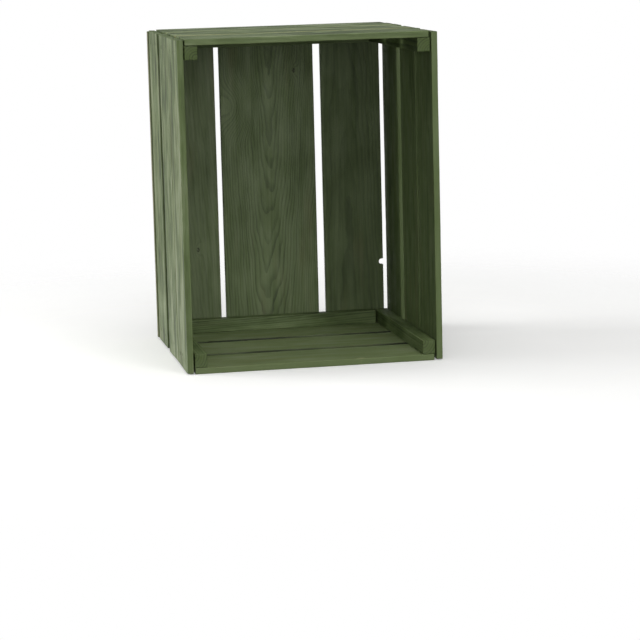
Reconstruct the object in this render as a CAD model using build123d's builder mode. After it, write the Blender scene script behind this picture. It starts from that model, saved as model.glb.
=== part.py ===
"""Slatted wooden crate standing on its short end, with the open side towards -Y.

The crate's length runs up along Z, its width along X and its depth along Y, from the rim at
the front to the base boards at the back. Four square posts stand in the corners. Three slats
on each long side and three on each end are nailed to the posts, two battens lie along the
ends just inside the base, and three boards are nailed over the battens as the base.
The origin is the middle of the face that the crate stands on.
"""

import os

from build123d import *

# Overall sizes, in millimetres
LENGTH = 458.0  # between the outer faces of the two ends, along Z
WIDTH = 360.0  # between the outer faces of the two long sides, along X
BASE_OVERHANG = 2.0  # how far the left base board stands past the left side
RIGHT_LEAN = 4.0  # the nailed joints have racked: the right side leans in this much at the base

# Slats
SLAT_WIDTH = 92.0
SLAT_GAP = 12.0  # on the ends, where the slats are evenly spaced
SLAT_THICKNESS = 9.0
SIDE_INSET = 1.0  # the long slats stop short of the end slats' outer faces
SIDE_MIDDLE = -8.0  # the middle slat of a long side is nailed nearer the rim than halfway
END_CLEARANCE = 1.0  # joint between an end slat and the long slats beside it

# Posts and battens are cut from the same square stock
STOCK = 19.5
BATTEN_LENGTH = 297.0
BATTEN_NAILS = (-110.0, -8.0, 104.0)  # along the batten, from the crate's middle

# Base boards: left edge and right edge, from the outer face of the left side
BASE_THICKNESS = 9.0
BASE_INSET = 2.5  # the base boards stop short of the ends
BASE_BOARDS = {
    "left": (-BASE_OVERHANG, 94.5),
    "middle": (102.0, 242.5),
    "right": (253.5, 342.5),
}
BASE_NAILS = {"left": (-28.0, 28.0), "middle": (-50.0, 2.0, 51.0), "right": (-22.0, 22.0)}
KNOT_RADIUS = 4.8  # a knot has fallen out of the right board's edge
KNOT_HEIGHT = 99.5
KNOT_EDGE = 1.7  # from the knot's middle to the board's edge

# Nails: flat heads, driven a little below the surface
NAIL_LENGTH = 22.0
NAIL_RADIUS = 0.9
HEAD_RADIUS = 1.7
HEAD_THICKNESS = 0.7
HEAD_SINK = 0.4
SIDE_ROWS = ((1.5, -25.0), (-1.5, -1.0), (0.0, 23.0))  # along and across each long slat's end
END_ROWS = ((-1.0, -18.0), (1.5, 6.0), (0.0, 29.0))  # the same on the end slats

EDGE_BREAK = 0.4  # sawn arris, barely rubbed down
PLACES = ("front", "middle", "back")

# Faces of the crate, worked out from the sizes above
DEPTH = 3 * SLAT_WIDTH + 2 * SLAT_GAP  # rim to base, without the base boards
FRONT = -(DEPTH + BASE_THICKNESS) / 2
BACK = FRONT + DEPTH
LEFT = (BASE_OVERHANG - WIDTH) / 2
RIGHT = LEFT + WIDTH
MIDDLE_X = (LEFT + RIGHT) / 2
MIDDLE_Y = (FRONT + BACK) / 2
MIDDLE_Z = LENGTH / 2
SLAT_PITCH = SLAT_WIDTH + SLAT_GAP
POST_CENTRE = SLAT_THICKNESS + STOCK / 2  # from an outer face to the middle of a post
POST_TRIM = 0.8  # the posts are this much shorter than the crate's depth
LEAN_SLOPE = RIGHT_LEAN / DEPTH

# Each plane's x axis is the boards' length and its z axis points out of the crate.
# On the sides and the ends, y runs from the rim to the base; on the base it runs along +X.
LEFT_FACE = Plane((LEFT, MIDDLE_Y, MIDDLE_Z), x_dir=(0, 0, 1), z_dir=(-1, 0, 0))
# The right side's plane leans. It is moved back a little, so that no inner corner of its slats
# stands out of the rim.
RIGHT_FACE = Plane(
    (RIGHT - RIGHT_LEAN / 2, MIDDLE_Y + SLAT_THICKNESS * LEAN_SLOPE, MIDDLE_Z),
    x_dir=(0, 0, -1),
    z_dir=(1, LEAN_SLOPE, 0),
)
BOTTOM_FACE = Plane((MIDDLE_X, MIDDLE_Y, 0), x_dir=(-1, 0, 0), z_dir=(0, 0, -1))
TOP_FACE = Plane((MIDDLE_X, MIDDLE_Y, LENGTH), x_dir=(1, 0, 0), z_dir=(0, 0, 1))
BASE_FACE = Plane((MIDDLE_X, BACK + BASE_THICKNESS, MIDDLE_Z), x_dir=(0, 0, 1), z_dir=(0, 1, 0))


def slat_centres(middle):
    """Each slat's place across a side, from the rim to the base, given the middle one's."""
    return [-SLAT_PITCH, middle, SLAT_PITCH]


def lean_at(across):
    """How far in the right side stands at a place between the rim and the base."""
    return (across + DEPTH / 2) * LEAN_SLOPE


def side_nail_points():
    """Nail points on a long side: three nails at both ends of each slat, over the posts."""
    reach = LENGTH / 2 - POST_CENTRE
    points = []
    for centre in slat_centres(SIDE_MIDDLE):
        for end in (-1, 1):
            for along, across in SIDE_ROWS:
                points.append((end * (reach + along), centre + across))
    return points


def end_nail_points(right):
    """The same on an end. The crate's right is towards +x or -x on the face."""
    reach = WIDTH / 2 - POST_CENTRE
    points = []
    for centre in slat_centres(0):
        for along, across in END_ROWS:
            place = centre + across
            points.append((-right * (reach + along), place))
            points.append((right * (reach + along - lean_at(place)), place))
    return points


def batten_nail_points(direction):
    """Nail points along a batten, through the end slat nearest the base."""
    across = DEPTH / 2 - STOCK / 2
    return [(direction * along, across) for along in BATTEN_NAILS]


def base_centre(edges):
    """The middle of a base board across the crate, from the crate's middle."""
    return sum(edges) / 2 - WIDTH / 2


def base_nail_points():
    """Nail points on the base, in a row over each batten."""
    points = []
    for name, edges in BASE_BOARDS.items():
        for end in (-1, 1):
            for across in BASE_NAILS[name]:
                points.append((end * (LENGTH / 2 - POST_CENTRE), base_centre(edges) + across))
    return points


def nail_group(face, points):
    """Nails driven in at the points of a face, heads just below it."""
    head_tops = [(x, y, -HEAD_SINK) for x, y in points]
    with BuildPart(face) as nails:
        with Locations(*head_tops):
            Cylinder(HEAD_RADIUS, HEAD_THICKNESS, align=(Align.CENTER, Align.CENTER, Align.MAX))
            Cylinder(NAIL_RADIUS, NAIL_LENGTH, align=(Align.CENTER, Align.CENTER, Align.MAX))
    return nails.part


def nail_holes(face, points):
    """The space each nail takes, opened up to the face above its sunk head."""
    with BuildPart(face) as holes:
        with Locations(*points):
            Cylinder(
                HEAD_RADIUS,
                HEAD_SINK + HEAD_THICKNESS,
                align=(Align.CENTER, Align.CENTER, Align.MAX),
            )
            Cylinder(
                NAIL_RADIUS,
                HEAD_SINK + NAIL_LENGTH,
                align=(Align.CENTER, Align.CENTER, Align.MAX),
            )
    return holes.part


def save(piece, label):
    """Name a finished piece and write it to its own file."""
    piece.label = label
    export_step(piece, f"parts/{label}.step")


def timber(face, centre, size, thickness, holes):
    """A board or a piece of stock whose outer side lies on a face, with its arrises broken and
    its nail holes cut."""
    with BuildPart() as piece:
        with BuildSketch(face):
            with Locations(centre):
                Rectangle(*size)
        extrude(amount=-thickness)
        chamfer(piece.edges(), EDGE_BREAK)
        for tool in holes:
            add(tool, mode=Mode.SUBTRACT)
    return piece.part


os.makedirs("parts", exist_ok=True)

# The two ends, each with the way along its face's x axis that is the crate's right
ENDS = {"bottom": (BOTTOM_FACE, -1), "top": (TOP_FACE, 1)}

# Nails
FIXINGS = {
    "left_side": (LEFT_FACE, side_nail_points()),
    "right_side": (RIGHT_FACE, side_nail_points()),
    "base": (BASE_FACE, base_nail_points()),
}
for end, (face, right) in ENDS.items():
    FIXINGS[f"{end}_end"] = (face, end_nail_points(right) + batten_nail_points(right))
holes_of = {}
for group, (face, points) in FIXINGS.items():
    save(nail_group(face, points), f"nails_{group}")
    holes_of[group] = nail_holes(face, points)

# Slats of the two long sides
SIDE_SIZE = (LENGTH - 2 * SIDE_INSET, SLAT_WIDTH)
for side, face in (("left", LEFT_FACE), ("right", RIGHT_FACE)):
    for place, centre in zip(PLACES, slat_centres(SIDE_MIDDLE)):
        slat = timber(face, (0, centre), SIDE_SIZE, SLAT_THICKNESS, [holes_of[f"{side}_side"]])
        save(slat, f"{side}_side_slat_{place}")

# Slats of the two ends, between the long sides
SHORTENED = SLAT_THICKNESS + END_CLEARANCE
for end, (face, right) in ENDS.items():
    for place, centre in zip(PLACES, slat_centres(0)):
        lean = lean_at(centre + SLAT_WIDTH / 2)
        size = (WIDTH - 2 * SHORTENED - lean, SLAT_WIDTH)
        slat = timber(face, (-right * lean / 2, centre), size, SLAT_THICKNESS, [holes_of[f"{end}_end"]])
        save(slat, f"{end}_end_slat_{place}")

# Corner posts, behind the ends of the long slats
POST_SIZE = (STOCK, DEPTH - POST_TRIM)
for side, face in (("left", LEFT_FACE), ("right", RIGHT_FACE)):
    upwards = face.x_dir.Z
    for end, level in (("bottom", -1), ("top", 1)):
        centre = (upwards * level * (LENGTH / 2 - POST_CENTRE), 0)
        tools = [holes_of[f"{side}_side"], holes_of[f"{end}_end"], holes_of["base"]]
        post = timber(face.offset(-SLAT_THICKNESS), centre, POST_SIZE, STOCK, tools)
        save(post, f"corner_post_{end}_{side}")

# Battens inside the base, from the left posts towards the right ones
BATTEN_MIDDLE = SLAT_THICKNESS + STOCK + BATTEN_LENGTH / 2 - WIDTH / 2
for end, (face, right) in ENDS.items():
    centre = (right * BATTEN_MIDDLE, (DEPTH - STOCK) / 2)
    tools = [holes_of[f"{end}_end"], holes_of["base"]]
    batten = timber(face.offset(-SLAT_THICKNESS), centre, (BATTEN_LENGTH, STOCK), STOCK, tools)
    save(batten, f"base_batten_{end}")

# Base boards
with BuildPart() as knot:
    with BuildSketch(BASE_FACE):
        edge = BASE_BOARDS["right"][1] - WIDTH / 2
        with Locations((KNOT_HEIGHT - MIDDLE_Z, edge - KNOT_EDGE)):
            Circle(KNOT_RADIUS)
    extrude(amount=-BASE_THICKNESS)
for name, edges in BASE_BOARDS.items():
    size = (LENGTH - 2 * BASE_INSET, edges[1] - edges[0])
    tools = [holes_of["base"]] + ([knot.part] if name == "right" else [])
    board = timber(BASE_FACE, (0, base_centre(edges)), size, BASE_THICKNESS, tools)
    save(board, f"base_board_{name}")
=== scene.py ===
import itertools
import math

import bpy
import numpy as np
from mathutils import Matrix, Quaternion, Vector


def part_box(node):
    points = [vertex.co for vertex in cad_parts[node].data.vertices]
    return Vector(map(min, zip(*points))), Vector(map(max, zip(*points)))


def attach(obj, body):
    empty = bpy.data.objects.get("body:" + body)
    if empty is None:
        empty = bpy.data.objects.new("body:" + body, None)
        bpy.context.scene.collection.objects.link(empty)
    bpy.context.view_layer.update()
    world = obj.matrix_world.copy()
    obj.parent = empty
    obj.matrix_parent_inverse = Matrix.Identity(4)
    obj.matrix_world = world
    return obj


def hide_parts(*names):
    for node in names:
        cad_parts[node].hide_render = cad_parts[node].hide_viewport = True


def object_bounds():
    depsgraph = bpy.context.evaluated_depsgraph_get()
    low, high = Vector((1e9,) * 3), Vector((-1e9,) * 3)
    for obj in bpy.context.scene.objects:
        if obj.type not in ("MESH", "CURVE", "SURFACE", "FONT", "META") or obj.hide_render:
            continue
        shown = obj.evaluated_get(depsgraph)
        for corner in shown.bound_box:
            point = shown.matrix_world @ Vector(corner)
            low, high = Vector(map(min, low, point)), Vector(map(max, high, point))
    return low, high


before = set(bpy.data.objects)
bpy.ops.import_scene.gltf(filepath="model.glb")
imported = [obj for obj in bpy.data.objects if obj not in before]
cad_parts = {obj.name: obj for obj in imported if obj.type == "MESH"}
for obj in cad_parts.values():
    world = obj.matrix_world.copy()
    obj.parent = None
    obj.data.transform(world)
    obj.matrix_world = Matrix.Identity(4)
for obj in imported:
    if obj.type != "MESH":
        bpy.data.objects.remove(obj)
cad_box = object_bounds()

CRATE_LOW, CRATE_HIGH = cad_box
CRATE_MIDDLE = (CRATE_LOW + CRATE_HIGH) / 2
# The frame is in metres. Boards, nails and wood patterns are worked out in millimetres.
MM = 0.001

# Mesh of the boards
STEP_ALONG = 5.0  # spacing of mesh lines along the grain
STEP_ACROSS = 4.0  # and across it
CLOSEST = 0.25  # mesh lines nearer to each other than this become one
LIP = (0.0, 0.3, 0.75, 1.5, 2.8)  # mesh lines next to an arris, from the arris
LIP_REACH = 0.8  # the deepest of them, as a share of half the board
TINY = 1e-6
CORNER_REACH = 2.0  # a CAD corner this near the edge of a slat's box lies on that edge

# Sawn boards: how their surfaces leave the plain block, always inwards
ARRIS = (0.35, 1.1)  # radius of a rubbed arris, least and most
ARRIS_LENGTH = 16.0  # length of an arris over which the radius changes
ARRIS_PLACES = (3.3, 5.7)  # keep the noise of the four arrises apart
ROUND_MOST = 0.45  # the largest radius, as a share of half the thickness
CHIP_RADIUS = 2.4  # where a splinter has left an arris
CHIP_LENGTH = 9.0
CHIP_PLACE = 9.1  # where the chips lie in the noise
CHIP_NOISE = (0.84, 0.97)  # the noise above which there is a chip
FACE_WAVE = 0.35  # unevenness of a wide face
EDGE_WAVE = 0.45  # of a narrow sawn edge
EDGE_RIPPLE = 0.5  # its short ripples, as a share of the edge's wave
BOARD_EDGE_WAVE = 0.2  # of the base boards, which were cut with a finer saw
END_WAVE = 0.5  # of a crosscut end
END_SLANT = 0.6  # how far out of square that end is, as a share of its wave
# Lengths of the waves along and across each surface, and their place in the noise
END_WAVES = (9.0, 5.0, 0.0)
EDGE_WAVES = (22.0, 6.0, 4.4)
EDGE_RIPPLES = (5.0, 3.0, 6.1)
FACE_WAVES = (80.0, 26.0, 2.2)
OPPOSITE = 1.6  # sets the waves of opposite surfaces apart
OPEN_JOINT = 0.8  # how much further the end slats stand off the long sides
STAND_OFF = (0.9, 1.7)  # gap between a post and its side at the rim, least and most
STAND_OFF_REACH = 150.0  # how deep that gap goes

# Nails
NAIL_ZONE = 3.5  # mesh lines are close together this far round a nail
NAIL_STEP = 0.7
NAIL_LEVEL = 2.0  # a head this near a board's outer face is in that face
RANGE_END = 0.1  # makes a range of mesh lines take in its own end
CRATER = (1.8, 3.0)  # radius of a nail's crater at its foot and at the surface
CRATER_DEPTH = 1.25
CRATER_SKIN = 1.2  # only the mesh this near the outer face is dented
SAME_LEVEL = 0.01  # corners of a CAD head's top face lie this level
HEAD_SPREAD = 6.0  # corners nearer to each other than this are of one head

# Stage
FLOOR_FADE = (0.35, 1.1)  # where the floor starts and ends fading, in metres from the crate
FLOOR_GLOW = 0.25  # light that the floor itself gives off
BACKGROUND_SHOWN = 1.0  # brightness of the background as the camera sees it
BACKGROUND_FILL = 0.04  # and as light on the crate

rng = np.random.default_rng(41)
NOISE_SIZE = 32
NOISE_TABLE = rng.random((NOISE_SIZE,) * 3)
SHIFT_RANGE = 16.0  # each piece reads the noise from its own place up to this far off


def noise(points):
    """Smooth repeatable noise from 0 to 1 at an array of points, one cell to each unit."""
    cell = np.floor(points).astype(int)
    share = points - cell
    share = share * share * (3 - 2 * share)
    total = 0.0
    for corner in itertools.product((0, 1), repeat=3):
        weight = np.prod(np.where(corner, share, 1 - share), axis=1)
        total = total + weight * NOISE_TABLE[tuple(((cell + corner) % NOISE_SIZE).T)]
    return total


def smooth_step(low, high, value):
    """0 below low and 1 above high, with a smooth rise between them."""
    share = np.clip((value - low) / (high - low), 0, 1)
    return share * share * (3 - 2 * share)


# ---------------------------------------------------------------- boards and stock


def unit(axis, sign=1.0):
    """The unit vector of an axis, or its opposite."""
    vector = Vector((0.0, 0.0, 0.0))
    vector[axis] = sign
    return vector


def lean_of_right_side():
    """How far the right side is turned about the vertical, read from the outside of a slat."""
    low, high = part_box("right_side_slat_middle")
    outside = [v.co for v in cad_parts["right_side_slat_middle"].data.vertices]
    front = max((p for p in outside if p.y < low.y + CORNER_REACH * MM), key=lambda p: p.x)
    back = max((p for p in outside if p.y > high.y - CORNER_REACH * MM), key=lambda p: p.x)
    return Quaternion((0, 0, 1), math.atan2(front.x - back.x, back.y - front.y))


def turn_of(node):
    """The turn of a part about the vertical: only the right side and its posts stand askew."""
    askew = node.startswith("corner_post") and node.endswith("_right") or "right_side" in node
    return RIGHT_TURN if askew else Quaternion()


class Timber:
    """One board, post or batten: its middle, half sizes and own axes.

    The first axis runs along the grain, the second across the face, and the third out of the
    crate through the thickness.
    """

    def __init__(self, node):
        low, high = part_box(node)
        size = high - low
        along, across, through = sorted(range(3), key=lambda axis: -size[axis])
        outward = math.copysign(1.0, ((low + high) / 2 - CRATE_MIDDLE)[through])
        turn = turn_of(node)
        x_axis = turn @ unit(along)
        z_axis = turn @ unit(through, outward)
        y_axis = z_axis.cross(x_axis)
        axes = Matrix((x_axis, y_axis, z_axis))
        corners = np.array([axes @ v.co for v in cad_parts[node].data.vertices])
        lowest, highest = corners.min(0), corners.max(0)
        self.node = node
        self.rimward = -math.copysign(1.0, y_axis.y)
        self.half = (highest - lowest) / 2 / MM
        self.middle = axes.transposed() @ Vector((lowest + highest) / 2)
        self.matrix = axes.transposed().to_4x4()
        self.matrix.translation = self.middle

    def local(self, point):
        """A point of the crate in the board's own axes, in millimetres."""
        return np.array(self.matrix.inverted() @ point) / MM


def mesh_lines(half, step, nail_places=()):
    """Places of the mesh lines along one axis: even, but close at the ends and round nails."""
    count = max(2, round(2 * half / step))
    lines = list(np.linspace(-half, half, count + 1))
    for inset in LIP:
        if inset < LIP_REACH * half:
            lines += [inset - half, half - inset]
    for place in nail_places:
        lines += list(np.arange(place - NAIL_ZONE, place + NAIL_ZONE + RANGE_END, NAIL_STEP))
    kept = []
    for line in sorted(lines):
        on_end = abs(abs(line) - half) < TINY
        if kept and line - kept[-1] < CLOSEST:
            if on_end and line > 0:
                kept[-1] = half
            continue
        if abs(line) <= half + TINY:
            kept.append(line)
    return np.array(kept)


def block_mesh(lines):
    """Points and faces of a closed block cut along the given lines of its three axes."""
    counts = [len(axis) for axis in lines]
    grid = np.stack(np.meshgrid(*lines, indexing="ij"), axis=-1)
    shell = np.zeros(counts, bool)
    for axis in range(3):
        side = [slice(None)] * 3
        for end in (0, -1):
            side[axis] = end
            shell[tuple(side)] = True
    number = np.full(counts, -1)
    number[shell] = np.arange(shell.sum())
    faces = []
    for axis in range(3):
        for end in (0, -1):
            sheet = np.take(number, end, axis=axis)
            corners = [sheet[:-1, :-1], sheet[1:, :-1], sheet[1:, 1:], sheet[:-1, 1:]]
            if (end == 0) != (axis == 1):
                corners.reverse()
            faces.append(np.stack(corners, axis=-1).reshape(-1, 4))
    return grid[shell], np.concatenate(faces)


def rounded(points, half, shift):
    """The block with its arrises rubbed round, more in some places, and here and there chipped."""
    x, y, z = points.T
    side = np.sign(np.column_stack([y, z])) * ARRIS_PLACES + shift[:2]
    worn = noise(np.column_stack([x / ARRIS_LENGTH + shift[2], side]))
    chip = noise(np.column_stack([x / CHIP_LENGTH + shift[0], side + CHIP_PLACE]))
    radius = ARRIS[0] + (ARRIS[1] - ARRIS[0]) * worn
    radius = radius + (CHIP_RADIUS - radius) * smooth_step(*CHIP_NOISE, chip)
    radius = np.minimum(radius, ROUND_MOST * half.min())[:, None]
    core = np.clip(points, radius - half, half - radius)
    out = points - core
    length = np.linalg.norm(out, axis=1, keepdims=True)
    return core + out * np.minimum(1, radius / np.maximum(length, TINY))


def waves(first, second, side, lengths, shift):
    """Noise over a surface, from 0 to 1, and another on the surface opposite."""
    along, across, place = lengths
    return noise(np.column_stack([first / along, second / across, OPPOSITE * side]) + shift + place)


def uneven(points, half, shift, edge_wave):
    """Sawn surfaces that wander a little inwards from the plain block."""
    x, y, z = points.T
    u, v, w = (points / half).T
    end = END_WAVE * waves(y, z, u, END_WAVES, shift)
    slant = END_SLANT * END_WAVE * (1 + np.sign(shift[0] - SHIFT_RANGE / 2) * v)
    edge = edge_wave * waves(x, z, v, EDGE_WAVES, shift)
    edge += EDGE_RIPPLE * edge_wave * waves(x, z, v, EDGE_RIPPLES, shift)
    face = FACE_WAVE * waves(x, y, w, FACE_WAVES, shift)
    inwards = np.column_stack([end + slant, edge, face])
    return points * (1 - inwards / half)


def cratered(points, half, nails):
    """Dents round the nails in the outer face."""
    depth = np.zeros(len(points))
    for nail in nails:
        reach = np.linalg.norm(points[:, :2] - nail[:2], axis=1)
        depth = np.maximum(depth, CRATER_DEPTH * (1 - smooth_step(*CRATER, reach)))
    outer = points[:, 2] > half[2] - CRATER_SKIN
    moved = points.copy()
    moved[outer, 2] -= depth[outer]
    return moved


def stood_off(points, timber):
    """A post that its nails have not drawn tight to the side: a gap which closes behind the rim."""
    into = timber.matrix.to_3x3().inverted()
    aside = np.array(into @ unit(0, math.copysign(1.0, timber.middle.x)))
    forward = np.array(into @ unit(1, -1.0))
    gap = rng.uniform(*STAND_OFF)
    depth = timber.half[0] - points @ forward
    share = (points @ aside) / (2 * timber.half[2]) + 0.5
    moved = gap * (1 - smooth_step(0, STAND_OFF_REACH, depth)) * np.clip(share, 0, 1)
    return points - moved[:, None] * aside


class KnotHole:
    """The notch that a fallen knot has left in a board's edge, read from the CAD board."""

    REACH = 14.0  # how far in from the edge the mesh makes room for the notch
    DEEPEST = 8.0  # the notch's corners are less deep than this
    ARRIS_CLEAR = 1.0  # and deeper than the broken arris
    END_CLEAR = 5.0  # and not at the board's ends
    MOUTH_LINES = 6  # mesh lines from the notch's middle to the side of its mouth
    MOUTH_STEP = 0.3  # and one more line just past it
    MOUTH_SLACK = 0.05
    LINES_CLEAR = 1.0  # the board's own lines keep this far from the mouth

    def __init__(self, timber):
        half = timber.half
        corners = np.array([timber.local(v.co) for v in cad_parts[timber.node].data.vertices])
        depth = half[1] - corners[:, 1]
        inside = (depth < self.DEEPEST) & (depth > self.ARRIS_CLEAR)
        notch = corners[inside & (np.abs(corners[:, 0]) < half[0] - self.END_CLEAR)]
        self.edge = half[1]
        self.middle = (notch[:, 0].min() + notch[:, 0].max()) / 2
        self.radius = (notch[:, 0].max() - notch[:, 0].min()) / 2
        self.inset = self.edge - notch[:, 1].min() - self.radius
        self.mouth = math.sqrt(self.radius**2 - self.inset**2)

    def lines(self):
        """Mesh lines along the board, close together at the mouth of the notch."""
        offsets = np.linspace(0, self.mouth, self.MOUTH_LINES)
        offsets = np.append(offsets, self.mouth + self.MOUTH_STEP)
        return np.unique([self.middle - offsets, self.middle + offsets])

    def cut(self, points):
        """The board's points with those at the edge drawn in to the notch's outline."""
        across = np.clip(np.abs(points[:, 0] - self.middle), 0, self.radius)
        depth = self.inset + np.sqrt(self.radius**2 - across**2)
        depth[across > self.mouth + self.MOUTH_SLACK] = 0
        share = np.clip((points[:, 1] - self.edge + self.REACH) / self.REACH, 0, 1)
        moved = points.copy()
        moved[:, 1] -= depth * share
        return moved


def timber_object(timber, nails, material, hole=None):
    """The piece that stands for one CAD board, post or batten."""
    half = timber.half
    shift = rng.random(3) * SHIFT_RANGE
    in_face = [
        nail for nail in nails
        if np.all(np.abs(nail[:2]) < half[:2]) and abs(nail[2] - half[2]) < NAIL_LEVEL
    ]
    along = mesh_lines(half[0], STEP_ALONG, [nail[0] for nail in in_face])
    across = mesh_lines(half[1], STEP_ACROSS, [nail[1] for nail in in_face])
    through = mesh_lines(half[2], STEP_ACROSS)
    if hole:
        near = np.abs(along - hole.middle) < hole.mouth + hole.LINES_CLEAR
        along = np.sort(np.append(along[~near], hole.lines()))
    points, faces = block_mesh([along, across, through])
    edge_wave = BOARD_EDGE_WAVE if "board" in timber.node else EDGE_WAVE
    points = uneven(rounded(points, half, shift), half, shift, edge_wave)
    points = cratered(points, half, in_face)
    if hole:
        points = hole.cut(points)
    if "end_slat" in timber.node:
        points[:, 0] *= 1 - OPEN_JOINT / half[0]
    if "post" in timber.node:
        points = stood_off(points, timber)
    mesh = bpy.data.meshes.new(timber.node + "_wood")
    mesh.from_pydata((points * MM).tolist(), [], faces.tolist())
    mesh.shade_smooth()
    mesh.materials.append(material)
    piece = bpy.data.objects.new(timber.node + "_wood", mesh)
    piece.matrix_world = timber.matrix
    bpy.context.scene.collection.objects.link(piece)
    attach(piece, "root")
    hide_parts(timber.node)


# ---------------------------------------------------------------- nails


def nail_points(node):
    """Where each nail's head top is, in metres, and the way the heads face, read from the CAD."""
    low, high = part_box(node)
    size = high - low
    axis = min(range(3), key=lambda number: size[number])
    sign = math.copysign(1.0, ((low + high) / 2 - CRATE_MIDDLE)[axis])
    outward = turn_of(node) @ unit(axis, sign)
    corners = [v.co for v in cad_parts[node].data.vertices]
    top = max(outward.dot(corner) for corner in corners)
    points = [corner for corner in corners if top - outward.dot(corner) < SAME_LEVEL * MM]
    groups = []
    for point in points:
        near = [g for g in groups if (g[0] - point).length < HEAD_SPREAD * MM]
        if near:
            near[0].append(point)
        else:
            groups.append([point])
    middles = []
    for group in groups:
        spans = [[point[axis] for point in group] for axis in range(3)]
        middles.append(Vector([(min(span) + max(span)) / 2 for span in spans]))
    return middles, outward


NAIL_TURNS = 20
# Radius and depth below the head's top, from the middle of the head to the point, in millimetres
NAIL_PROFILE = (
    (0.45, 0.16), (0.85, 0.10), (1.25, 0.02), (1.5, 0.03), (1.66, 0.14), (1.7, 0.32),
    (1.62, 0.5), (1.3, 0.62), (0.98, 0.78), (0.9, 1.1), (0.88, 10.0), (0.88, 19.2), (0.5, 20.9),
)
NAIL_TIP = 21.9
NAIL_DISH = 0.18  # depth of the dish in the middle of a head
NAIL_DROP = 0.12  # how far a head stands below its CAD place
NAIL_TILT = 0.035  # usual lean of a nail, in radians
OUT_OF_ROUND = 0.012


def nails_object(node, material):
    """The nails of one side: dished heads with rounded rims on plain pointed shanks."""
    middles, outward = nail_points(node)
    across = outward.orthogonal().normalized()
    up = outward.cross(across)
    vertices, faces = [], []
    for middle in middles:
        tilt = rng.normal(0, NAIL_TILT, 2)
        axis = (outward + across * tilt[0] + up * tilt[1]).normalized()
        side = axis.orthogonal().normalized()
        other = axis.cross(side)
        first = len(vertices)
        start = middle - outward * NAIL_DROP * MM
        vertices.append(start - axis * NAIL_DISH * MM)
        for radius, depth in NAIL_PROFILE:
            bulge = 1 + rng.normal(0, OUT_OF_ROUND, NAIL_TURNS)
            for turn in range(NAIL_TURNS):
                angle = math.tau * turn / NAIL_TURNS
                spread = (side * math.cos(angle) + other * math.sin(angle)) * bulge[turn]
                vertices.append(start + (spread * radius - axis * depth) * MM)
        vertices.append(start - axis * NAIL_TIP * MM)
        last = len(vertices) - 1
        for turn in range(NAIL_TURNS):
            following = (turn + 1) % NAIL_TURNS
            faces.append((first, first + 1 + turn, first + 1 + following))
            for ring in range(len(NAIL_PROFILE) - 1):
                a = first + 1 + ring * NAIL_TURNS
                b = a + NAIL_TURNS
                faces.append((a + turn, b + turn, b + following, a + following))
            a = last - NAIL_TURNS
            faces.append((a + turn, last, a + following))
    mesh = bpy.data.meshes.new(node + "_steel")
    mesh.from_pydata([tuple(v) for v in vertices], [], faces)
    mesh.shade_smooth()
    mesh.materials.append(material)
    piece = bpy.data.objects.new(node + "_steel", mesh)
    bpy.context.scene.collection.objects.link(piece)
    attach(piece, "root")
    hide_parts(node)
    return middles


# ---------------------------------------------------------------- materials


def srgb(red, green, blue):
    """A colour given in display values from 0 to 255, as linear light."""
    return (*(((c / 255 + 0.055) / 1.055) ** 2.4 for c in (red, green, blue)), 1.0)


def new_material(name):
    """An empty material and its node tree."""
    material = bpy.data.materials.new(name)
    material.use_nodes = True
    return material, Tree(material.node_tree)


class Tree:
    """A node tree with short ways to add nodes."""

    def __init__(self, tree):
        self.tree = tree
        tree.nodes.clear()

    def node(self, kind, inputs=None, **settings):
        """A new node with its settings made and its inputs given values or links."""
        made = self.tree.nodes.new(kind)
        for name, value in settings.items():
            setattr(made, name, value)
        for name, value in (inputs or {}).items():
            self.set(made.inputs[name], value)
        return made

    def set(self, socket, value):
        if isinstance(value, bpy.types.NodeSocket):
            self.tree.links.new(value, socket)
        else:
            socket.default_value = value

    def math(self, operation, first, second=0.0, third=0.0):
        values = {0: first, 1: second, 2: third}
        return self.node("ShaderNodeMath", values, operation=operation).outputs[0]

    def scaled(self, vector, scale):
        inputs = {0: vector, 1: scale}
        return self.node("ShaderNodeVectorMath", inputs, operation="MULTIPLY").outputs[0]

    def moved(self, vector, shift):
        inputs = {0: vector, 1: shift}
        return self.node("ShaderNodeVectorMath", inputs, operation="ADD").outputs[0]

    def noise(self, vector, scale, detail=2.0, roughness=0.5):
        """Noise from 0 to 1, stretched by the scale along each axis."""
        inputs = {
            "Vector": self.scaled(vector, scale),
            "Scale": 1.0,
            "Detail": detail,
            "Roughness": roughness,
        }
        return self.node("ShaderNodeTexNoise", inputs).outputs["Fac"]

    def ramp(self, value, low, high, to_low=0.0, to_high=1.0):
        """A smooth change from one value to another as an input goes from low to high."""
        names = ("Value", "From Min", "From Max", "To Min", "To Max")
        inputs = dict(zip(names, (value, low, high, to_low, to_high)))
        made = self.node("ShaderNodeMapRange", inputs, interpolation_type="SMOOTHSTEP")
        return made.outputs["Result"]

    def mix(self, share, first, second):
        """A mix of two colours."""
        made = self.node("ShaderNodeMix", {"Factor": share}, data_type="RGBA")
        self.set(made.inputs[6], first)
        self.set(made.inputs[7], second)
        return made.outputs[2]

    def product(self, *factors):
        total = factors[0]
        for factor in factors[1:]:
            total = self.math("MULTIPLY", total, factor)
        return total

    def swing(self, value, amount, base=0.0):
        """A base moved up and down by a 0 to 1 pattern, by half the amount each way."""
        return self.math("MULTIPLY_ADD", self.math("SUBTRACT", value, 0.5), amount, base)

    def length(self, first, second):
        squares = [self.math("POWER", part, 2.0) for part in (first, second)]
        return self.math("SQRT", self.math("ADD", *squares))

    def colours(self, value, stops):
        made = self.node("ShaderNodeValToRGB", {"Fac": value})
        elements = made.color_ramp.elements
        while len(elements) < len(stops):
            elements.new(1.0)
        for element, (place, colour) in zip(elements, stops):
            element.position = place
            element.color = colour
        return made.outputs["Color"]


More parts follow.
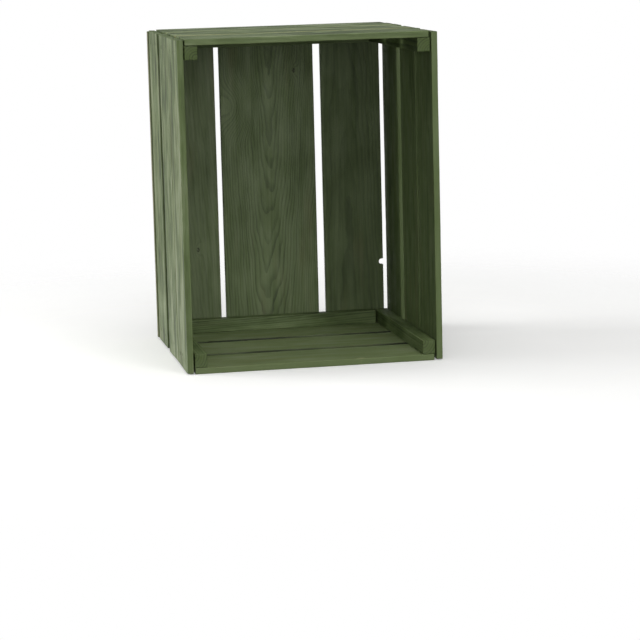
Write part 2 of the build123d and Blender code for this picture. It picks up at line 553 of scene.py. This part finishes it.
WHITE = (1.0, 1.0, 1.0, 1.0)
STAIN = (
    (0.0, srgb(50, 64, 31)),
    (0.3, srgb(80, 97, 52)),
    (0.55, srgb(104, 121, 74)),
    (0.8, srgb(124, 139, 93)),
    (1.0, srgb(148, 158, 122)),
)
# Painted shade for the narrow faces in the gaps between the slats
PAINTED_GAP_SHADE = srgb(60, 76, 36)
# Fresh stain: the own colour of the rim faces, and painted light on the right side's gap faces
FRESH_STAIN_AND_LIT_EDGE = srgb(108, 126, 76)
STAIN_THIN = srgb(120, 118, 78)
STAIN_WORN = srgb(150, 158, 118)
# Deeper painted shade, for the gaps between the bottom slats
PAINTED_BOTTOM_GAP_SHADE = srgb(38, 48, 22)
BARE_EDGE = srgb(142, 134, 112)
BARE_WOOD = srgb(160, 162, 116)
# Painted sheen: a pale grey that stands in for the reflection of the white surroundings
SHEEN_GREY = srgb(150, 152, 138)
KNOT = srgb(44, 50, 26)
END_GRAIN = srgb(84, 102, 48)
END_RINGS = srgb(50, 64, 26)

# Patterns in the wood: noise cells in a millimetre along, across and through the board, then
# the noise's detail and roughness
PATTERNS = {
    "fibres": ((0.035, 1.1, 1.1), 4.0, 0.65),
    "pores": ((0.012, 0.55, 0.55), 3.0, 0.6),
    "streaks": ((0.0035, 0.16, 0.16), 3.0, 0.6),
    "bands": ((0.014, 0.05, 0.05), 3.0, 0.6),
    "blotches": ((0.009, 0.022, 0.022), 2.0, 0.5),
    "thin": ((0.006, 0.04, 0.04), 2.0, 0.5),
    "years": ((0.004, 0.03, 0.03), 1.0, 0.5),
    "wander": ((0.007, 0.02, 0.02), 2.0, 0.5),
    "swirl": ((0.02, 0.06, 0.06), 2.0, 0.5),
    "eye": ((0.3, 0.5, 0.5), 3.0, 0.5),
}
# How far the pith wanders across and through a board, and how uneven the years are in width
WANDER = 16.0
SWIRL = 5.0
UNEVEN_YEARS = 2.5
# The latewood of a year: where in the year it grows darker, and where it ends
LATEWOOD_RISE = (0.35, 0.88)
LATEWOOD_END = (1.0, 0.93)
LATEWOOD_LEAST = 0.4
# A knot is drawn out along the grain, and the rings bulge round it
KNOT_STRETCH = 0.62
KNOT_BULGE = 2.6
KNOT_BULGE_REACH = 4.5
# What the patterns do to the tone of the stain: with the streakiness of the piece, or without
TONE_STREAKY = {"streaks": 1.0, "bands": 1.1, "pores": 0.6}
TONE_PLAIN = {"fibres": 0.35, "blotches": 0.35}
# Saw marks: their slant across the board, how they follow the pores, and how close they are
SAW_SLANT = 0.16
SAW_WANDER = 4.0
SAW_PITCH = 2.6
# Relief of the grain, as shares of the bump's depth
RELIEF = {"fibres": 1.1, "latewood": 0.35, "saw": 0.10, "pores": 0.8}
GRAIN_BUMP = {"Strength": 0.55, "Distance": 0.45 * MM}
BARE_METALLIC = 0.8
STEEL_BUMP = {"Strength": 0.4, "Distance": 0.1 * MM}


def growth(t, place, point, grain):
    """Distance from the pith, in millimetres, which makes the rings and the cathedral grain."""
    pith_y, pith_z, lean_y, lean_z = grain["pith"]
    x, y, z = place
    wander = t.swing(t.noise(point, *PATTERNS["wander"]), WANDER * grain["wander"])
    swirl = t.swing(t.noise(point, *PATTERNS["swirl"]), SWIRL * grain["wander"])
    from_y = t.math("ADD", t.math("SUBTRACT", y, pith_y), wander)
    from_z = t.math("ADD", t.math("SUBTRACT", z, pith_z), swirl)
    from_y = t.math("SUBTRACT", from_y, t.product(x, lean_y))
    from_z = t.math("SUBTRACT", from_z, t.product(x, lean_z))
    return t.length(from_y, from_z)


def knot_reach(t, place, knot):
    """Distance from a knot's middle in knot radii, drawn out along the grain."""
    knot_x, knot_y, radius = knot[:3]
    from_x = t.product(t.math("SUBTRACT", place[0], knot_x), KNOT_STRETCH / radius)
    from_y = t.product(t.math("SUBTRACT", place[1], knot_y), 1.0 / radius)
    return t.length(from_x, from_y)


def late_wood(t, place, point, grain, knots):
    """The dark part of each year's growth, from 0 to 1, some years darker than others."""
    distance = growth(t, place, point, grain)
    for reach, (_, _, radius, _) in knots:
        bulge = t.ramp(reach, KNOT_BULGE_REACH, 0.0, 0.0, KNOT_BULGE * radius)
        distance = t.math("ADD", distance, bulge)
    rings = t.math("DIVIDE", distance, grain["rings"])
    years = t.noise(point, *PATTERNS["years"])
    rings = t.math("ADD", rings, t.product(years, UNEVEN_YEARS))
    inputs = {"W": t.math("FLOOR", rings)}
    strength = t.node("ShaderNodeTexWhiteNoise", inputs, noise_dimensions="1D").outputs["Value"]
    strength = t.math("MULTIPLY_ADD", strength, 1 - LATEWOOD_LEAST, LATEWOOD_LEAST)
    share = t.math("FRACT", rings)
    return t.product(t.ramp(share, *LATEWOOD_RISE), t.ramp(share, *LATEWOOD_END), strength)


def stain_colour(t, seen, latewood, grain):
    """The stain on a wide face, streaked and banded, over darker latewood."""
    tone = grain["tone"]
    for name, amount in TONE_STREAKY.items():
        tone = t.swing(seen[name], amount * grain["streaks"], tone)
    for name, amount in TONE_PLAIN.items():
        tone = t.swing(seen[name], amount, tone)
    tone = t.math("MULTIPLY_ADD", latewood, -grain["contrast"], tone)
    return t.mix(t.ramp(seen["thin"], 0.56, 0.76, 0.0, 0.3), t.colours(tone, STAIN), STAIN_THIN)


def painted_sheen_veil(t, colour, z, seen, half, grain):
    """Painted sheen: a pale grey veil, strongest on the streaks, over one wide face of a board."""
    sheen = t.product(t.ramp(seen["streaks"], 0.3, 0.65, 0.4, 1.0), grain["sheen_amount"])
    height = t.product(z, grain["open"])
    open_side = t.ramp(height, half[2] - 1.6, half[2] - 0.6)
    return t.mix(t.product(sheen, open_side), colour, SHEEN_GREY)


def edges_worn_and_gap_shaded(t, colour, place, seen, latewood, timber, grain):
    """Rubbed arrises, the narrow sawn faces with painted shade in the gaps between the slats
    (painted light on the right side), and the crosscut ends with their rings.
    """
    past = [t.math("SUBTRACT", timber.half[i], t.math("ABSOLUTE", place[i])) for i in range(3)]
    arris = t.math("ADD", past[1], past[2])
    rubbed = t.product(t.ramp(arris, 1.4, 0.5), t.ramp(seen["pores"], 0.4, 0.62), 0.5)
    colour = t.mix(rubbed, colour, STAIN_WORN)

    # The narrow faces that face the next board take the side's edge colour: mostly painted shade in
    # the gaps between the slats, painted light on the right side, and bare wood or worn stain on a
    # few boards.
    narrow = t.ramp(past[1], 1.2, 0.7)
    if grain["at_rim"]:
        rim = t.ramp(t.product(place[1], timber.rimward), -1.0, 1.0, 0.0, 0.65)
        colour = t.mix(t.product(narrow, rim), colour, FRESH_STAIN_AND_LIT_EDGE)
        narrow = t.product(narrow, t.math("LESS_THAN", rim, 0.3))
    amount, edge_colour = grain["edge"]
    patches = t.ramp(seen["blotches"], 0.35, 0.6, 0.6, 1.0)
    colour = t.mix(t.product(narrow, t.product(patches, amount)), colour, edge_colour)

    end = t.ramp(past[0], 1.6, 0.9)
    rings_in_end = t.mix(latewood, END_GRAIN, END_RINGS)
    rings_in_end = t.mix(t.ramp(seen["fibres"], 0.4, 0.7, 0.0, 0.35), rings_in_end, STAIN[1][1])
    return t.mix(t.product(end, 0.9), colour, rings_in_end)


def spotted(t, colour, place, point, seen, knots, grain):
    """Knots, and patches where the stain is gone."""
    for reach, (_, _, _, darkness) in knots:
        eye = t.noise(point, *PATTERNS["eye"])
        core = t.product(t.ramp(reach, 1.15, 0.75), t.ramp(eye, 0.25, 0.5), darkness)
        colour = t.mix(core, colour, KNOT)
    for patch in grain["bare"]:
        reach = t.math("ADD", knot_reach(t, place, patch), t.product(seen["fibres"], 0.8))
        colour = t.mix(t.ramp(reach, 1.5, 1.1, 0.0, 0.8), colour, BARE_WOOD)
    return colour


def sawn_relief(t, place, seen, latewood):
    """Height of the grain and of the saw marks."""
    slant = t.math("ADD", place[0], t.product(place[1], SAW_SLANT))
    slant = t.math("ADD", slant, t.product(seen["pores"], SAW_WANDER))
    saw = t.product(t.math("SINE", t.product(slant, SAW_PITCH)), t.ramp(seen["blotches"], 0.45, 0.6))
    height = t.product(seen["fibres"], RELIEF["fibres"])
    height = t.math("MULTIPLY_ADD", latewood, RELIEF["latewood"], height)
    height = t.math("MULTIPLY_ADD", saw, RELIEF["saw"], height)
    return t.math("MULTIPLY_ADD", seen["pores"], RELIEF["pores"], height)


def finished(t, inputs):
    """A plain surface shader joined to the material's output."""
    shader = t.node("ShaderNodeBsdfPrincipled", inputs)
    output = t.node("ShaderNodeOutputMaterial")
    t.set(output.inputs["Surface"], shader.outputs["BSDF"])


def stained_pine(timber, grain):
    """Sawn softwood under a thin green stain: rings, fibres, streaks, saw marks and worn arrises."""
    material, t = new_material(timber.node + "_stained_pine")
    own = t.scaled(t.node("ShaderNodeTexCoord").outputs["Object"], (1 / MM,) * 3)
    place = list(t.node("ShaderNodeSeparateXYZ", {0: own}).outputs)
    point = t.moved(own, grain["shift"])
    seen = {
        name: t.noise(point, *PATTERNS[name])
        for name in ("fibres", "pores", "streaks", "bands", "blotches", "thin")
    }
    knots = [(knot_reach(t, place, knot), knot) for knot in grain["knots"]]

    latewood = late_wood(t, place, point, grain, knots)
    colour = stain_colour(t, seen, latewood, grain)
    # painted sheen over one wide face
    colour = painted_sheen_veil(t, colour, place[2], seen, timber.half, grain)
    colour = edges_worn_and_gap_shaded(t, colour, place, seen, latewood, timber, grain)
    colour = spotted(t, colour, place, point, seen, knots, grain)
    height = sawn_relief(t, place, seen, latewood)
    bump = t.node("ShaderNodeBump", {"Height": height, **GRAIN_BUMP})
    roughness = t.ramp(seen["fibres"], 0.25, 0.75, -0.1, 0.1)
    roughness = t.math("ADD", roughness, t.ramp(seen["bands"], 0.3, 0.7, 0.72, 0.5))
    inputs = {
        "Base Color": colour,
        "Roughness": roughness,
        "Specular IOR Level": 0.5,
        "Normal": bump.outputs["Normal"],
    }
    finished(t, inputs)
    return material


def stained_steel():
    """Nail heads: dull steel, most of it under the stain that was brushed over it."""
    material, t = new_material("stained_steel")
    point = t.scaled(t.node("ShaderNodeTexCoord").outputs["Object"], (1 / MM,) * 3)
    film = t.ramp(t.noise(point, (0.35, 0.35, 0.35), 3.0), 0.42, 0.58)
    scratches = t.noise(point, (3.0, 3.0, 3.0), 4.0, 0.7)
    bare = t.mix(scratches, srgb(70, 68, 60), srgb(128, 126, 116))
    stained = t.mix(scratches, srgb(46, 56, 30), srgb(74, 86, 50))
    colour = t.mix(film, bare, stained)
    bump = t.node("ShaderNodeBump", {"Height": scratches, **STEEL_BUMP})
    inputs = {
        "Base Color": colour,
        "Metallic": t.math("MULTIPLY_ADD", film, -BARE_METALLIC, BARE_METALLIC),
        "Roughness": t.ramp(scratches, 0.2, 0.8, 0.38, 0.7),
        "Normal": bump.outputs["Normal"],
    }
    finished(t, inputs)
    return material


def pale_floor():
    """White floor under the crate that fades into the white background all round it."""
    material, t = new_material("pale_floor")
    point = t.node("ShaderNodeTexCoord").outputs["Object"]
    mottle = t.noise(point, (6.0, 6.0, 6.0), 3.0)
    colour = t.mix(mottle, srgb(236, 236, 234), srgb(244, 244, 242))
    inputs = {
        "Base Color": colour,
        "Roughness": 0.9,
        "Emission Color": WHITE,
        "Emission Strength": FLOOR_GLOW,
    }
    shader = t.node("ShaderNodeBsdfPrincipled", inputs)
    away = t.node("ShaderNodeVectorMath", {0: point}, operation="LENGTH").outputs["Value"]
    faded = t.ramp(away, *FLOOR_FADE)
    gone = t.node("ShaderNodeBsdfTransparent").outputs["BSDF"]
    both = t.node("ShaderNodeMixShader", {0: faded, 1: shader.outputs["BSDF"], 2: gone})
    t.set(t.node("ShaderNodeOutputMaterial").inputs["Surface"], both.outputs[0])
    return material


# ---------------------------------------------------------------- the crate

RIGHT_TURN = lean_of_right_side()
NAIL_NODES = sorted(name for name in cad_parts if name.startswith("nails_"))
TIMBER_NODES = sorted(set(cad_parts) - set(NAIL_NODES))

steel = stained_steel()
nail_tops = []
for node in NAIL_NODES:
    nail_tops += nails_object(node, steel)

# Grain of each kind of piece, where it is not left to chance. Places are in millimetres from the
# board's middle.
#   tone, streaks: how light the stain is, and how streaky
#   contrast, rings: how dark the latewood is, and how wide a year is
#   pith, wander: the pith's place across and through the board and how it drifts along it, and
#     how much it wanders
#   knots, bare: along, across and radius, and for a knot its darkness
#   sheen_amount, open: how much painted sheen, a pale veil standing in for reflected light, lies
#     on the wide face on the outer (1) or the inner (-1) side
#   edge: how much of the narrow faces that face the next board has another colour, and which;
#     the darker colours there are painted shade in the gaps between the slats, the fresh stain on
#     the right side is painted light
GROUPS = {
    "base_board": {"streaks": 0.4, "contrast": 0.16, "sheen_amount": 0.12, "open": -1.0},
    "left_side": {"streaks": 2.2, "tone": 0.62, "sheen_amount": 0.16},
    # the narrow faces between the right side's slats: painted light
    "right_side": {"streaks": 0.4, "tone": 0.5, "edge": (0.6, FRESH_STAIN_AND_LIT_EDGE), "contrast": 0.2},
    "top_end": {"streaks": 1.9, "tone": 0.48, "edge": (0.7, STAIN_WORN), "sheen_amount": 0.04},
    # the narrow faces between the bottom slats: deep painted shade in their gaps
    "bottom_end": {"streaks": 0.25, "tone": 0.8, "contrast": 0.1, "edge": (1.0, PAINTED_BOTTOM_GAP_SHADE)},
    "corner_post": {"edge": (0.0, PAINTED_GAP_SHADE), "wander": 0.12, "rings": 3.6, "contrast": 0.3},
    "base_batten": {"edge": (0.0, PAINTED_GAP_SHADE), "wander": 0.12, "rings": 3.1, "contrast": 0.3},
}
GRAIN = {
    "bottom_end_slat_front": {"bare": ((64.0, 41.5, 4.0),)},
    "base_board_right": {"tone": 0.4},
    "top_end_slat_middle": {"edge": (1.0, BARE_WOOD)},
    "left_side_slat_middle": {"edge": (0.8, STAIN_WORN)},
    "left_side_slat_front": {"edge": (0.8, STAIN_WORN)},
    "base_board_middle": {
        "pith": (0.0, -34.0, 0.03, 0.07),
        "knots": ((162.0, 41.0, 2.4, 0.9), (112.0, -44.0, 8.0, 0.0)),
        "contrast": 0.32,
        "rings": 3.0,
    },
    "base_board_left": {
        "knots": ((-98.0, 16.0, 2.2, 0.9),),
        "tone": 0.53,
        "edge": (0.7, BARE_EDGE),
        "sheen_amount": 0.2,
    },
}


def chance_grain(node):
    """Grain for a board cut from anywhere in the log."""
    lean = rng.normal(0, 0.03, 2)
    found = {
        "pith": (rng.uniform(-30, 30), rng.uniform(-75, -25), lean[0], lean[1]),
        "shift": tuple(rng.uniform(0, 900, 3)),
        "knots": (),
        "bare": (),
        "contrast": rng.uniform(0.3, 0.5),
        "tone": rng.uniform(0.47, 0.55),
        "rings": 4.0,
        "wander": 1.0,
        # painted shade on the narrow faces in the gaps between the slats
        "edge": (0.6, PAINTED_GAP_SHADE),
        # painted sheen on the wide faces
        "sheen_amount": 0.04,
        "open": 1.0,
        "streaks": 0.8,
        "at_rim": node.endswith("_front"),
    }
    if "post" in node:
        found["pith"] = (rng.uniform(-12, -6), rng.uniform(-12, -6), 0.0, 0.0)
    for group, choices in GROUPS.items():
        if node.startswith(group):
            found |= choices
    return found | GRAIN.get(node, {})


for node in TIMBER_NODES:
    timber = Timber(node)
    grain = chance_grain(node)
    nails = [timber.local(top) for top in nail_tops]
    hole = KnotHole(timber) if node == "base_board_right" else None
    timber_object(timber, nails, stained_pine(timber, grain), hole)

# ---------------------------------------------------------------- stage

floor_mesh = bpy.data.meshes.new("floor")
FLOOR_CORNERS = [(-1, -1), (1, -1), (1, 1), (-1, 1)]
reach = FLOOR_FADE[1]
floor_mesh.from_pydata([(x * reach, y * reach, 0) for x, y in FLOOR_CORNERS], [], [(0, 1, 2, 3)])
floor_mesh.materials.append(pale_floor())
floor = bpy.data.objects.new("floor", floor_mesh)
floor.location = (CRATE_MIDDLE.x, CRATE_MIDDLE.y, CRATE_LOW.z)
floor.visible_diffuse = False  # the floor throws no light up at the crate
bpy.context.scene.collection.objects.link(floor)


def softbox(name, place, size, power, aim=CRATE_MIDDLE):
    """A large square lamp that shines at the crate."""
    lamp = bpy.data.lights.new(name, "AREA")
    lamp.size = size
    lamp.energy = power
    made = bpy.data.objects.new(name, lamp)
    made.location = place
    made.rotation_mode = "QUATERNION"
    made.rotation_quaternion = (aim - made.location).to_track_quat("-Z", "Y")
    bpy.context.scene.collection.objects.link(made)


# Lamps: place in metres, size of their sides and power in watts
softbox("left_softbox", Vector((-2.8, 0.7, 1.1)), 1.8, 78.0)
softbox("top_softbox", Vector((0.0, -0.2, 3.0)), 1.8, 33.0)
softbox("top_front_softbox", Vector((0.2, -1.9, 2.5)), 1.6, 24.0)
softbox("front_softbox", Vector((-1.0, -3.4, 0.5)), 1.6, 19.0)
ABOVE_CRATE = CRATE_MIDDLE + Vector((0.0, 0.0, 0.3))
softbox("right_softbox", Vector((1.3, -2.9, 0.9)), 1.1, 20.0, aim=ABOVE_CRATE)
softbox("backdrop_softbox", Vector((0.1, 3.4, 0.8)), 2.6, 14.0)

world = bpy.data.worlds.new("studio")
world.use_nodes = True
w = Tree(world.node_tree)
shown = w.node("ShaderNodeBackground", {"Color": WHITE, "Strength": BACKGROUND_SHOWN})
fill = w.node("ShaderNodeBackground", {"Color": WHITE, "Strength": BACKGROUND_FILL})
seen = w.node("ShaderNodeLightPath").outputs["Is Camera Ray"]
both = w.node("ShaderNodeMixShader", {0: seen, 1: fill.outputs[0], 2: shown.outputs[0]})
w.set(w.node("ShaderNodeOutputWorld").inputs["Surface"], both.outputs[0])
bpy.context.scene.world = world
bpy.context.scene.view_settings.view_transform = "Standard"

# The camera stands to the left of the open side and a little above it. It aims below the
# crate's middle, so the crate is in the upper part of the picture, and is rolled slightly.
CAMERA_PLACE = Vector((-0.6265, -3.5025, 0.6333))
CAMERA_AIM = Vector((0.0367, 0.0, 0.04))
CAMERA_ROLL = math.radians(-1.466)
CAMERA_LENS = 140.8
camera = bpy.data.objects.new("camera", bpy.data.cameras.new("camera"))
camera.data.lens = CAMERA_LENS
camera.location = CAMERA_PLACE
camera.rotation_mode = "QUATERNION"
level = (CAMERA_AIM - CAMERA_PLACE).to_track_quat("-Z", "Y")
camera.rotation_quaternion = level @ Quaternion((0, 0, 1), CAMERA_ROLL)
bpy.context.scene.collection.objects.link(camera)
bpy.context.scene.camera = camera
